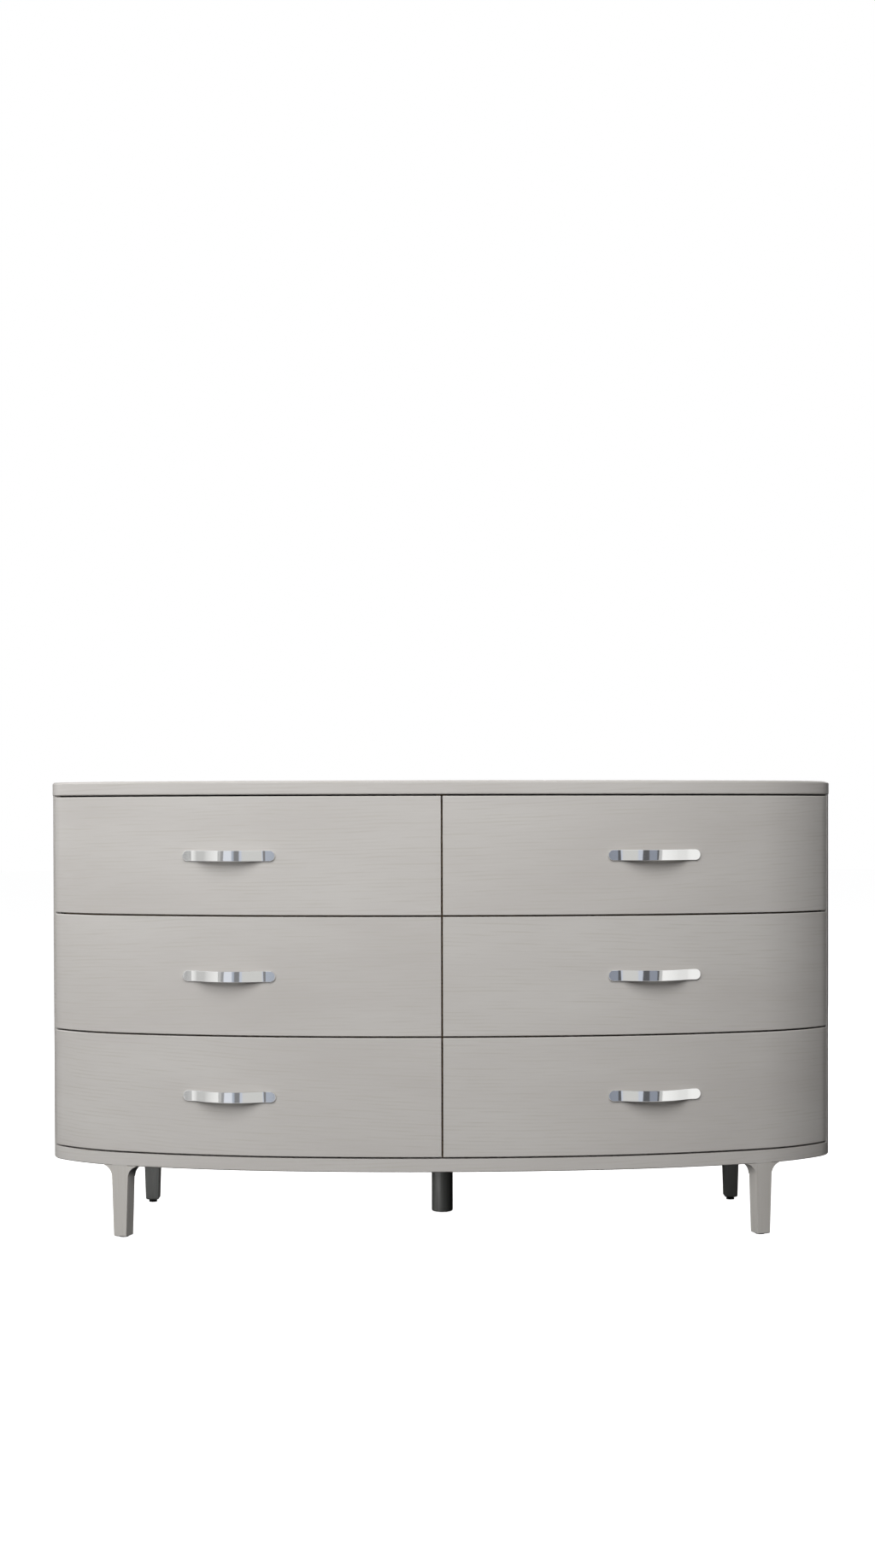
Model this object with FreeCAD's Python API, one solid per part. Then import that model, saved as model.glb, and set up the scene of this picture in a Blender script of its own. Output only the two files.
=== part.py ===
import FreeCAD
import Part

import math
import os

# Bow front chest of drawers: two columns of three drawers behind a bowed front, between a top
# and a base slab of the same D-shaped outline, on four legs and a centre foot.
# Millimetres. +Z is up, the front faces -Y, and the origin is on the floor under the middle.
# Right-hand pieces are modelled, and left-hand ones are their mirror images in the YZ plane.

Vector = FreeCAD.Vector
UP = Vector(0, 0, 1)

# Overall form
WIDTH = 1524.0
DEPTH = 508.0
LEG_HEIGHT = 137.5
BASE_THICKNESS = 25.0
TOP_THICKNESS = 26.0
TOP_OVERHANG = 1.0
TOP_ARRIS = 3.0
SLAB_ARRIS = 1.5
DRAWER_GAP = 3.0

# The bow: a crown, a shoulder, a quarter and a corner arc each side of the middle, each tangent
# to the next. An arc's angle is the slope in degrees at which it ends.
BOW_DEPTH = 229.0
BOW_CROWN_ANGLE = 6.3
BOW_SHOULDER_ANGLE = 19.7
BOW_QUARTER_ANGLE = 44.65
BOW_SHOULDER_RADIUS = 1448.0
BOW_QUARTER_RADIUS = 349.0

# Case
SIDE_THICKNESS = 20.0
SIDE_RETURN = 34.0
PARTITION_THICKNESS = 18.0
TONGUE_THICKNESS = 8.0
TONGUE_HEIGHT = 8.0
TONGUE_STOP = 30.0
BACK_THICKNESS = 6.0
BACK_INSET = 8.0
BACK_GROOVE = 8.0
RAIL_WIDTH = 60.0
RAIL_HEEL = 30.0
RAIL_THICKNESS = 18.0
RAIL_SETBACK = 4.0
PANEL_FIT = 0.25

# Drawers
FRONT_HEIGHT = 223.0
FRONT_THICKNESS = 20.0
FRONT_ARRIS = 1.0
BOARD_THICKNESS = 12.0
BOARD_ARRIS = 2.0
BOX_HEIGHT = 165.0
BOX_LIFT = 22.0
BOX_REAR_SPACE = 10.0
BOTTOM_THICKNESS = 6.0
BOTTOM_LIFT = 10.0
GROOVE_DEPTH = 6.0

# Three-member runners, one each side of every drawer, in the longest stock length that fits
RUNNER_LENGTH_STEP = 50.0
RUNNER_SETBACK = 3.0
RUNNER_SPACE = 12.7
RUNNER_HEIGHT = 45.0
RUNNER_CHANNEL = 9.0
RUNNER_SHEET = 1.2
RUNNER_LIP = 4.0
RUNNER_PLAY = 0.4

# Strap pulls
PULL_SIDE_INSET = 361.0
PULL_LENGTH = 180.0
PULL_HEIGHT = 20.0
PULL_THICKNESS = 4.0
PULL_PROJECTION = 23.0
PULL_TAB = 18.0
PULL_BEND_RADIUS = 36.0

# Legs and feet
FRONT_LEG_SIDE_INSET = 146.0
FRONT_LEG_FOOT_WIDTH = 26.5
FRONT_LEG_NECK_WIDTH = 34.0
FRONT_LEG_DEPTH = 31.0
FRONT_LEG_BACK_CHAMFER = 3.0
FLARE_RADIUS = 23.0
FLARE_ANGLE = 76.0
LEG_ARRIS = 1.5
REAR_LEG_SIDE_INSET = 158.0
REAR_LEG_INSET = 4.0
REAR_LEG_FOOT_WIDTH = 27.5
REAR_LEG_NECK_WIDTH = 35.0
REAR_LEG_CHAMFER = 2.0
REAR_FOOT_CHAMFER = 2.5
CENTRE_LEG_Y = 103.0
CENTRE_LEG_RADIUS = 21.5
TENON_WIDTH = 20.0
TENON_DEPTH = 18.0
TENON_HEIGHT = 16.0
PAD_THICKNESS = 2.0
PAD_RADIUS = 9.0
LEVELER_RADIUS = 8.5
LEVELER_FOOT = 3.5
LEVELER_DROP = 5.5
LEVELER_STEM_RADIUS = 4.0
LEVELER_STEM_REACH = 20.0
LEVELER_STEM_FIT = 0.1

ROWS = ("lower", "middle", "upper")

# Drawing: the flat sides of a rod, how far a cutter runs past its work, and when two points are one
ROD_SIDES = 12
OUTSIDE = 20.0
TINY = 1e-4

# Places that follow from the sizes above
CASE_HALF = WIDTH / 2 - TOP_OVERHANG
REAR_Y = DEPTH / 2
APEX_Y = TOP_OVERHANG - DEPTH / 2
BOW_END_Y = APEX_Y + BOW_DEPTH
BASE_TOP_Z = LEG_HEIGHT + BASE_THICKNESS
ROW_PITCH = FRONT_HEIGHT + DRAWER_GAP
TOP_UNDERSIDE_Z = BASE_TOP_Z + len(ROWS) * ROW_PITCH + DRAWER_GAP
CASE_SPAN = (BASE_TOP_Z, TOP_UNDERSIDE_Z)
SIDE_INNER_X = CASE_HALF - SIDE_THICKNESS
SIDE_FRONT_Y = BOW_END_Y - SIDE_RETURN
PARTITION_FRONT_Y = APEX_Y + FRONT_THICKNESS + RAIL_SETBACK
BACK_REAR_Y = REAR_Y - BACK_INSET
BACK_FRONT_Y = BACK_REAR_Y - BACK_THICKNESS
FRONT_END_Y = SIDE_FRONT_Y - DRAWER_GAP
BOX_INNER_X = PARTITION_THICKNESS / 2 + RUNNER_SPACE
BOX_OUTER_X = SIDE_INNER_X - RUNNER_SPACE
BOX_REAR_Y = BACK_FRONT_Y - BOX_REAR_SPACE
BOX_BACK_Y = BOX_REAR_Y - BOARD_THICKNESS
RUNNER_FRONT_Y = SIDE_FRONT_Y + RUNNER_SETBACK
RUNNER_LENGTH = RUNNER_LENGTH_STEP * math.floor((BOX_BACK_Y - RUNNER_FRONT_Y) / RUNNER_LENGTH_STEP)
PULL_X = CASE_HALF - PULL_SIDE_INSET
FRONT_LEG_X = CASE_HALF - FRONT_LEG_SIDE_INSET
REAR_LEG_X = CASE_HALF - REAR_LEG_SIDE_INSET
REAR_LEG_Y = REAR_Y - REAR_LEG_INSET - REAR_LEG_NECK_WIDTH / 2


# Drawing helpers

def block(x_range, y_range, z_range):
    """A box between two limits on each axis."""
    size = [limits[1] - limits[0] for limits in (x_range, y_range, z_range)]
    return Part.makeBox(*size, Vector(x_range[0], y_range[0], z_range[0]))


def grown(limits, margin):
    """Two limits, each moved outwards."""
    return limits[0] - margin, limits[1] + margin


def polygon_prism(points, push):
    """A closed outline of corner points, pushed along a vector."""
    return Part.Face(Part.makePolygon(list(points) + [points[0]])).extrude(push)


def stacked_rings(rings):
    """A solid with flat sides between rings of corner points, one above the other."""
    loops = [rings[0], rings[-1]]
    for lower, upper in zip(rings, rings[1:]):
        loops += [[lower[i - 1], lower[i], upper[i], upper[i - 1]] for i in range(len(lower))]
    shell = Part.makeShell([Part.Face(Part.makePolygon(loop + loop[:1])) for loop in loops])
    return Part.makeSolid(shell)


def rod(radius, start, push):
    """A rod or a hole drawn with a few flat sides, for small hardware."""
    along = Vector(push).normalize()
    across = along.cross(UP) if abs(along.z) < 0.5 else Vector(1, 0, 0)
    over = along.cross(across)
    rim = []
    for side in range(ROD_SIDES):
        angle = 2 * math.pi * side / ROD_SIDES
        rim.append(start + (across * math.cos(angle) + over * math.sin(angle)) * radius)
    return polygon_prism(rim, push)


def edges_where(shape, test):
    """The edges of a shape whose two ends and midpoint all pass a test."""
    def points(edge):
        middle = edge.valueAt((edge.FirstParameter + edge.LastParameter) / 2)
        return [vertex.Point for vertex in edge.Vertexes] + [middle]
    return [edge for edge in shape.Edges if all(test(point) for point in points(edge))]


def at_height(z):
    """A test for points at one height."""
    return lambda point: abs(point.z - z) < TINY


def mirrored(shape):
    """The left-hand twin of a right-hand shape."""
    return shape.mirror(Vector(0, 0, 0), Vector(1, 0, 0))


def raised(shape, z):
    """A copy of a shape, moved up."""
    return shape.translated(Vector(0, 0, z))


def drilled(shape, holes):
    """A shape with a list of solids cut out of it."""
    for hole in holes:
        shape = shape.cut(hole)
    return shape


# The bow

def inward_at(turn):
    """The inward normal of the bow where its slope is turn, in radians."""
    return Vector(-math.sin(turn), math.cos(turn), 0)


def bow_arcs():
    """The right half of the bow, from the middle: the centre, radius, first and last turn of each arc.

    The crown and the corner arc get the radii that make the chain span the width and the depth.
    """
    degrees = (0.0, BOW_CROWN_ANGLE, BOW_SHOULDER_ANGLE, BOW_QUARTER_ANGLE, 90.0)
    turns = [math.radians(turn) for turn in degrees]
    pairs = list(zip(turns, turns[1:]))
    across = [math.sin(last) - math.sin(first) for first, last in pairs]
    back = [math.cos(first) - math.cos(last) for first, last in pairs]
    rest_across = CASE_HALF - BOW_SHOULDER_RADIUS * across[1] - BOW_QUARTER_RADIUS * across[2]
    rest_back = BOW_DEPTH - BOW_SHOULDER_RADIUS * back[1] - BOW_QUARTER_RADIUS * back[2]
    scale = across[0] * back[3] - across[3] * back[0]
    crown = (rest_across * back[3] - rest_back * across[3]) / scale
    corner = (rest_back * across[0] - rest_across * back[0]) / scale
    arcs = []
    start = Vector(0, APEX_Y, 0)
    for radius, (first, last) in zip((crown, BOW_SHOULDER_RADIUS, BOW_QUARTER_RADIUS, corner), pairs):
        centre = start + inward_at(first) * radius
        arcs.append((centre, radius, first, last))
        start = centre - inward_at(last) * radius
    return arcs


BOW_ARCS = bow_arcs()


def bow_frame(x):
    """The point of the bow at x, its tangent towards +X and its inward normal."""
    for centre, radius, _, last in BOW_ARCS:
        if x <= centre.x + radius * math.sin(last):
            break
    turn = math.asin((x - centre.x) / radius)
    return centre - inward_at(turn) * radius, Vector(math.cos(turn), math.sin(turn), 0), inward_at(turn)


def on_bow(point):
    """A test for points on the outer face of the bow."""
    return point.y < BOW_END_Y and abs(bow_frame(abs(point.x))[0].y - point.y) < TINY


def bow_prism(inset, z_range, setback=0.0):
    """The D-shaped outline of the case, drawn in all round and its bow moved back, as a solid."""
    def spot(arc, turn, side):
        centre, radius, _, _ = arc
        point = centre - inward_at(turn) * (radius - inset)
        return Vector(side * point.x, point.y + setback, z_range[0])

    crown, *flanks = BOW_ARCS
    edges = [Part.Arc(spot(crown, crown[3], -1), spot(crown, 0.0, 1), spot(crown, crown[3], 1)).toShape()]
    for arc in flanks:
        first, last = arc[2:]
        for side in (1, -1):
            stops = [spot(arc, turn, side) for turn in (first, (first + last) / 2, last)]
            edges.append(Part.Arc(*stops).toShape())
    half = CASE_HALF - inset
    corners = [Vector(half, BOW_END_Y + setback, z_range[0]), Vector(half, REAR_Y, z_range[0])]
    corners += [Vector(-corner.x, corner.y, corner.z) for corner in reversed(corners)]
    edges += [Part.makeLine(*ends) for ends in zip(corners, corners[1:])]
    outline = Part.Wire(Part.__sortEdges__(edges))
    return Part.Face(outline).extrude(UP * (z_range[1] - z_range[0]))


# Case panels

def tongues(margin=0.0):
    """The tongues of the two sides and the partition in the top and base, or their grooves."""
    side_x = SIDE_INNER_X + SIDE_THICKNESS / 2
    blocks = []
    for x, front in ((-side_x, SIDE_FRONT_Y), (0.0, PARTITION_FRONT_Y), (side_x, SIDE_FRONT_Y)):
        thickness = grown((x - TONGUE_THICKNESS / 2, x + TONGUE_THICKNESS / 2), margin)
        length = grown((front + TONGUE_STOP, BACK_FRONT_Y - TONGUE_STOP), margin)
        reach = TONGUE_HEIGHT + margin
        blocks.append(block(thickness, length, (BASE_TOP_Z - reach, BASE_TOP_Z)))
        blocks.append(block(thickness, length, (TOP_UNDERSIDE_Z, TOP_UNDERSIDE_Z + reach)))
    return blocks


def back_panel(margin=0.0):
    """The back, let into grooves in the sides, top and base, or those grooves."""
    reach = BACK_GROOVE - PANEL_FIT + margin
    half = SIDE_INNER_X + reach
    return block((-half, half), grown((BACK_FRONT_Y, BACK_REAR_Y), margin), grown(CASE_SPAN, reach))


def top_panel():
    top = TOP_UNDERSIDE_Z + TOP_THICKNESS
    slab = bow_prism(-TOP_OVERHANG, (TOP_UNDERSIDE_Z, top))
    slab = slab.makeChamfer(TOP_ARRIS, edges_where(slab, at_height(top)))
    slab = slab.makeChamfer(SLAB_ARRIS, edges_where(slab, at_height(TOP_UNDERSIDE_Z)))
    return drilled(slab, tongues(PANEL_FIT) + [back_panel(PANEL_FIT)])


def base_panel():
    """The base slab. Its lower arris stops where a front leg runs up into its face."""
    sharp = bow_prism(0, (LEG_HEIGHT, BASE_TOP_Z))
    slab = sharp.makeChamfer(SLAB_ARRIS, edges_where(sharp, at_height(LEG_HEIGHT)))
    for blank in (front_leg_blank(), mirrored(front_leg_blank())):
        slab = slab.fuse(raised(blank, BASE_THICKNESS).common(sharp))
    mortises = [tenon(*place, PANEL_FIT) for group in leg_places().values() for place in group]
    return drilled(slab.removeSplitter(), mortises + tongues(PANEL_FIT) + [back_panel(PANEL_FIT)])


def side_panel():
    """A straight side whose front end is shaped to carry on the bow."""
    strip = block((SIDE_INNER_X, CASE_HALF), (SIDE_FRONT_Y, REAR_Y), CASE_SPAN)
    panel = bow_prism(0, CASE_SPAN).common(strip)
    lower, upper = tongues()[-2:]
    return panel.cut(back_panel(PANEL_FIT)).multiFuse([lower, upper])


def centre_partition():
    half = PARTITION_THICKNESS / 2
    panel = block((-half, half), (PARTITION_FRONT_Y, BACK_FRONT_Y), CASE_SPAN)
    lower, upper = tongues()[2:4]
    return panel.multiFuse([lower, upper])


def drawer_rail(row):
    """The curved rail over one drawer of the right-hand column, from partition to side."""
    middle = BASE_TOP_Z + (row + 1) * ROW_PITCH + DRAWER_GAP / 2
    span = (middle - RAIL_THICKNESS / 2, middle + RAIL_THICKNESS / 2)
    outer = bow_prism(SIDE_THICKNESS, span, RAIL_SETBACK)
    inner = bow_prism(SIDE_THICKNESS, span, RAIL_SETBACK + RAIL_WIDTH)
    heel = BOW_END_Y + RAIL_SETBACK + RAIL_HEEL
    bay = block((PARTITION_THICKNESS / 2, SIDE_INNER_X), (APEX_Y, heel), span)
    return outer.common(bay).cut(inner)


# Legs and feet

def leg_places():
    """Where the legs stand: on each place, the way across and the way back."""
    point, tangent, inward = bow_frame(FRONT_LEG_X)
    across, back = Vector(1, 0, 0), Vector(0, 1, 0)
    front = (point + inward * (FRONT_LEG_DEPTH / 2), tangent, inward)
    rear = (Vector(REAR_LEG_X, REAR_LEG_Y, 0), across, back)
    centre = (Vector(0, CENTRE_LEG_Y, 0), across, back)

    def twin(place):
        return tuple(Vector(-vector.x, vector.y, 0) for vector in place)

    return {"front": (front, twin(front)), "rear": (rear, twin(rear)), "centre": (centre,)}


def tenon(place, across, back, margin=0.0):
    """A leg's tenon in the base, or its mortise."""
    wide, deep = across * (TENON_WIDTH / 2 + margin), back * (TENON_DEPTH / 2 + margin)
    foot = place + UP * LEG_HEIGHT
    corners = [foot - wide - deep, foot + wide - deep, foot + wide + deep, foot - wide + deep]
    return polygon_prism(corners, UP * (TENON_HEIGHT + margin))


def front_leg_blank():
    """The leg's face outline, with its two flares, pushed back square to the bow."""
    point, tangent, inward = bow_frame(FRONT_LEG_X)
    start = point - inward * OUTSIDE
    foot, neck = FRONT_LEG_FOOT_WIDTH / 2, FRONT_LEG_NECK_WIDTH / 2

    def spot(across, height):
        return start + tangent * across + UP * height

    def flare_spot(side, turn):
        """A point of a flare's arc, which leaves the neck upright and turns outwards by degrees."""
        angle = math.radians(turn)
        across = neck + FLARE_RADIUS * (1 - math.cos(angle))
        return spot(side * across, LEG_HEIGHT - FLARE_RADIUS * (1 - math.sin(angle)))

    tips = [flare_spot(side, FLARE_ANGLE) for side in (1, -1)]
    lips = [Vector(tip.x, tip.y, LEG_HEIGHT) for tip in tips]
    soles = [spot(side * (foot - LEG_ARRIS), PAD_THICKNESS) for side in (1, -1)]
    edges = [Part.makeLine(*soles), Part.makeLine(*lips)]
    for side, sole, tip, lip in zip((1, -1), soles, tips, lips):
        heel, neck_spot = spot(side * foot, PAD_THICKNESS + LEG_ARRIS), flare_spot(side, 0)
        edges.append(Part.makeLine(sole, heel))
        edges.append(Part.makeLine(heel, neck_spot))
        edges.append(Part.Arc(neck_spot, flare_spot(side, FLARE_ANGLE / 2), tip).toShape())
        edges.append(Part.makeLine(tip, lip))
    face = Part.Face(Part.Wire(Part.__sortEdges__(edges)))
    return face.extrude(inward * (OUTSIDE + FRONT_LEG_DEPTH))


def front_leg_wedges():
    """What the chamfers at a front leg's back take off: two corners up to the neck, and the lower edge."""
    point, tangent, inward = bow_frame(FRONT_LEG_X)
    foot, neck = FRONT_LEG_FOOT_WIDTH / 2, FRONT_LEG_NECK_WIDTH / 2
    rear = point + inward * FRONT_LEG_DEPTH

    def wedge(corner, first, second, push):
        return polygon_prism([corner - first, corner - second, corner + first + second], push)

    reach = tangent * (foot + OUTSIDE)
    lower = rear + UP * PAD_THICKNESS - reach
    wedges = [wedge(lower, inward * LEG_ARRIS, UP * -LEG_ARRIS, reach * 2)]
    low = PAD_THICKNESS + LEG_ARRIS
    rise = LEG_HEIGHT - FLARE_RADIUS - low
    for side in (1, -1):
        push = UP + tangent * (side * (neck - foot) / rise)
        corner = rear + tangent * (side * foot) + (UP - push) * low
        out = tangent * (side * FRONT_LEG_BACK_CHAMFER)
        wedges.append(wedge(corner, out, inward * FRONT_LEG_BACK_CHAMFER, push * (rise + low)))
    return wedges


def front_leg():
    """A front leg, cut flush with the bow and tenoned on top."""
    body = bow_prism(0, (PAD_THICKNESS, LEG_HEIGHT))
    body = body.makeChamfer(LEG_ARRIS, edges_where(body, at_height(PAD_THICKNESS)))
    leg = drilled(front_leg_blank().common(body), front_leg_wedges())
    return leg.fuse(tenon(*leg_places()["front"][0]))


def rear_leg():
    """A square leg with chamfered corners that tapers to its foot, bored for the leveler's stem."""
    place, across, back = leg_places()["rear"][0]

    def section(width, z):
        half = width / 2
        flat = half - REAR_LEG_CHAMFER
        quarter = [(flat, -half), (half, -flat), (half, flat), (flat, half)]
        return [place + Vector(x, y, z) for x, y in quarter + [(-x, -y) for x, y in quarter]]

    sole = section(REAR_LEG_FOOT_WIDTH - 2 * REAR_FOOT_CHAMFER, LEVELER_DROP)
    foot = section(REAR_LEG_FOOT_WIDTH, LEVELER_DROP + REAR_FOOT_CHAMFER)
    neck = section(REAR_LEG_NECK_WIDTH, LEG_HEIGHT)
    leg = stacked_rings([sole, foot, neck])
    return leg.fuse(tenon(place, across, back)).cut(leveler_stem(place, LEVELER_STEM_FIT))


def centre_leg():
    """A round leg that holds up the middle of the base."""
    place, across, back = leg_places()["centre"][0]
    leg = Part.makeCylinder(CENTRE_LEG_RADIUS, LEG_HEIGHT - PAD_THICKNESS, place + UP * PAD_THICKNESS)
    return leg.fuse(tenon(place, across, back))


def leveler_stem(place, margin=0.0):
    """The threaded stem of a leveler, or its bore in the leg."""
    return rod(LEVELER_STEM_RADIUS + margin, place, UP * (LEVELER_DROP + LEVELER_STEM_REACH + margin))


def leveler(place):
    return leveler_stem(place).fuse(rod(LEVELER_RADIUS, place, UP * LEVELER_FOOT))


def foot_pad(place):
    return rod(PAD_RADIUS, place, UP * PAD_THICKNESS)


# Runners

def channel_outline(near, far, half, lip):
    """A lipped channel in (distance from the case wall, height), open away from the wall."""
    sheet = RUNNER_SHEET
    upper = [(far, half - sheet - lip), (far, half), (near, half)]
    inside = [(near + sheet, half - sheet), (far - sheet, half - sheet), (far - sheet, half - sheet - lip)]
    lower = [(reach, -height) for reach, height in reversed(upper)]
    inside_lower = [(reach, -height) for reach, height in reversed(inside)]
    return lower + inside_lower + inside + upper


def hat_outline(near, brim, crown):
    """A hat section, its brim held in the middle channel and its top fixed to the drawer."""
    sheet = RUNNER_SHEET
    inside = [(RUNNER_SPACE - sheet, crown - sheet), (near, crown - sheet)]
    outside = [(near, brim), (near + sheet, brim), (near + sheet, crown), (RUNNER_SPACE, crown)]
    half = inside + outside
    return half + [(reach, -height) for reach, height in reversed(half)]


def runner_outlines():
    """The three nested members, each clear of the next by the play."""
    step = RUNNER_SHEET + RUNNER_PLAY
    half = RUNNER_HEIGHT / 2
    crown = half - step - RUNNER_SHEET - RUNNER_LIP - RUNNER_PLAY
    return {
        "case": channel_outline(0.0, RUNNER_CHANNEL, half, RUNNER_LIP),
        "middle": channel_outline(step, RUNNER_CHANNEL - step, half - step, RUNNER_LIP),
        "drawer": hat_outline(RUNNER_CHANNEL - 2 * step - RUNNER_SHEET, half - 2 * step, crown),
    }


def runner_pair(member, row):
    """One member at both sides of a right-hand drawer: at the partition and at the side panel."""
    z = drawer_base(row) + BOX_LIFT + BOX_HEIGHT / 2
    pair = []
    for wall, towards in ((PARTITION_THICKNESS / 2, 1), (SIDE_INNER_X, -1)):
        corners = [Vector(wall + towards * reach, RUNNER_FRONT_Y, z + height)
                   for reach, height in runner_outlines()[member]]
        pair.append(polygon_prism(corners, Vector(0, RUNNER_LENGTH, 0)))
    return pair


# Drawers, drawn for the right-hand column

def drawer_base(row):
    """Height of the lower edge of a drawer's front."""
    return BASE_TOP_Z + DRAWER_GAP + row * ROW_PITCH


def drawer_front(row):
    """The bent front: a slice of the bow, grooved for the bottom."""
    z = drawer_base(row)
    span = (z, z + FRONT_HEIGHT)
    slice_ = block((DRAWER_GAP / 2, CASE_HALF), (APEX_Y - OUTSIDE, FRONT_END_Y), span)
    front = bow_prism(0, span).common(slice_).cut(bow_prism(FRONT_THICKNESS, span))
    front = front.makeChamfer(FRONT_ARRIS, edges_where(front, on_bow))
    return front.cut(drawer_bottom(row, PANEL_FIT))


def drawer_bottom(row, margin=0.0):
    """The drawer bottom, let into the front, sides and back, or the groove that takes it."""
    z = drawer_base(row) + BOX_LIFT + BOTTOM_LIFT
    span = grown((z, z + BOTTOM_THICKNESS), margin)
    reach = GROOVE_DEPTH - PANEL_FIT + margin
    sides = grown((BOX_INNER_X + BOARD_THICKNESS, BOX_OUTER_X - BOARD_THICKNESS), reach)
    rear = BOX_BACK_Y - BOARD_THICKNESS + reach
    return bow_prism(FRONT_THICKNESS - reach, span).common(block(sides, (APEX_Y, rear), span))


def drawer_box(row):
    """The two sides, scribed to the bent front, and the back housed between them."""
    z = drawer_base(row) + BOX_LIFT
    span = (z, z + BOX_HEIGHT)
    within = bow_prism(FRONT_THICKNESS, span)
    groove = drawer_bottom(row, PANEL_FIT)
    housed = grown((BOX_INNER_X + BOARD_THICKNESS, BOX_OUTER_X - BOARD_THICKNESS), GROOVE_DEPTH)
    back = eased_top(block(housed, (BOX_BACK_Y - BOARD_THICKNESS, BOX_BACK_Y), span), span[1])
    boards = [back.cut(groove)]
    for x in (BOX_INNER_X, BOX_OUTER_X - BOARD_THICKNESS):
        blank = block((x, x + BOARD_THICKNESS), (APEX_Y, BOX_REAR_Y), span)
        boards.append(eased_top(blank, span[1]).common(within).cut(back).cut(groove))
    return boards


def eased_top(board, z):
    """A board with its two long upper edges taken off."""
    upper = edges_where(board, at_height(z))
    return board.makeChamfer(BOARD_ARRIS, [edge for edge in upper if edge.Length > BOARD_THICKNESS + TINY])


# Pulls

def pull_height(row):
    return drawer_base(row) + FRONT_HEIGHT / 2


def pull_tabs():
    """The point, tangent and inward normal of the bow under the middle of each tab."""
    _, tangent, _ = bow_frame(PULL_X)
    reach = (PULL_LENGTH - PULL_TAB) / 2 * tangent.x
    return [bow_frame(PULL_X + side * reach) for side in (-1, 1)]


def arc_middle(start, direction, end):
    """The middle of the arc that leaves start in a direction for end, and its direction there."""
    chord = end - start
    along = Vector(chord).normalize()
    half_turn = math.atan2(direction.cross(along).z, direction.dot(along)) / 2
    sag = chord.Length / 2 * math.tan(half_turn)
    return (start + end) * 0.5 - UP.cross(along) * sag, along


def bend_joint(root, apex):
    """Where the bend at a tab meets the arch, with the path's direction there."""
    (start, along), (end, tangent) = root, apex
    bend_centre = start - UP.cross(along) * PULL_BEND_RADIUS
    inward = UP.cross(tangent)
    span = end - bend_centre
    arch_radius = (PULL_BEND_RADIUS ** 2 - span.dot(span)) / (2 * (span.dot(inward) - PULL_BEND_RADIUS))
    towards = (end + inward * arch_radius - bend_centre).normalize()
    across = UP.cross(towards)
    return bend_centre + towards * PULL_BEND_RADIUS, across * math.copysign(1, across.dot(tangent))


def strap_path():
    """The strap's centre line in plan, as directed points: straight tabs joined by four arcs."""
    middle, tangent, inward = bow_frame(PULL_X)
    apex = (middle - inward * (PULL_PROJECTION - PULL_THICKNESS / 2), tangent)
    tips, roots = [], []
    for (point, along, inwards), side in zip(pull_tabs(), (-1, 1)):
        seat = point - inwards * (PULL_THICKNESS / 2)
        tips.append((seat + along * (side * PULL_TAB), along))
        roots.append((seat - along * (side * PULL_TAB / 2), along))
    left, right = [bend_joint(root, apex) for root in roots]
    path = [tips[0], roots[0]]
    for stop in (left, apex, right, roots[1]):
        path.append(arc_middle(*path[-1], stop[0]))
        path.append(stop)
    return path + [tips[1]]


def strap_edges(path, offset):
    """The path's lines and arcs, moved sideways, and their two ends."""
    points = [spot - UP.cross(direction) * offset for spot, direction in path]
    edges = [Part.makeLine(points[0], points[1]), Part.makeLine(points[-2], points[-1])]
    for index in range(1, len(points) - 2, 2):
        edges.append(Part.Arc(*points[index:index + 3]).toShape())
    return edges, points[0], points[-1]


def strap_blank():
    """The bent strap with square, overlong ends, centred on height zero."""
    path = strap_path()
    front, front_start, front_end = strap_edges(path, PULL_THICKNESS / 2)
    back, back_start, back_end = strap_edges(path, -PULL_THICKNESS / 2)
    caps = [Part.makeLine(front_start, back_start), Part.makeLine(front_end, back_end)]
    face = Part.Face(Part.Wire(Part.__sortEdges__(front + back + caps)))
    return raised(face.extrude(UP * PULL_HEIGHT), -PULL_HEIGHT / 2)


def slot_prism():
    """The pull's face outline, straight with half-round ends, pushed through square to the bow."""
    point, tangent, inward = bow_frame(PULL_X)
    radius = PULL_HEIGHT / 2
    straight = tangent * (PULL_LENGTH / 2 - radius)
    start = point - inward * (PULL_PROJECTION + OUTSIDE)
    edges = []
    for side in (1, -1):
        centre = start + straight * side
        rise = UP * radius
        edges.append(Part.Arc(centre + rise, centre + tangent * (side * radius), centre - rise).toShape())
        edges.append(Part.makeLine(start + straight + rise * side, start - straight + rise * side))
    face = Part.Face(Part.Wire(Part.__sortEdges__(edges)))
    return face.extrude(inward * (PULL_PROJECTION + 2 * OUTSIDE))


def pull(row):
    """A bowed strap pull with half-round tabs that lie flat on the drawer front."""
    return raised(strap_blank().common(slot_prism()), pull_height(row))


# Assembly: every node's solids, by name

def case_nodes():
    places = leg_places()
    side, leg_front, leg_rear = side_panel(), front_leg(), rear_leg()
    rails = [drawer_rail(row) for row in range(len(ROWS) - 1)]
    runners = [member for row in range(len(ROWS)) for member in runner_pair("case", row)]
    return {
        "top_panel": [top_panel()],
        "base_panel": [base_panel()],
        "right_side_panel": [side],
        "left_side_panel": [mirrored(side)],
        "centre_partition": [centre_partition()],
        "back_panel": [back_panel()],
        "drawer_rails": rails + [mirrored(rail) for rail in rails],
        "front_right_leg": [leg_front],
        "front_left_leg": [mirrored(leg_front)],
        "rear_right_leg": [leg_rear],
        "rear_left_leg": [mirrored(leg_rear)],
        "centre_leg": [centre_leg()],
        "foot_pads": [foot_pad(place[0]) for place in places["front"] + places["centre"]],
        "rear_levelers": [leveler(place[0]) for place in places["rear"]],
        "case_runners": runners + [mirrored(member) for member in runners],
    }


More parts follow.
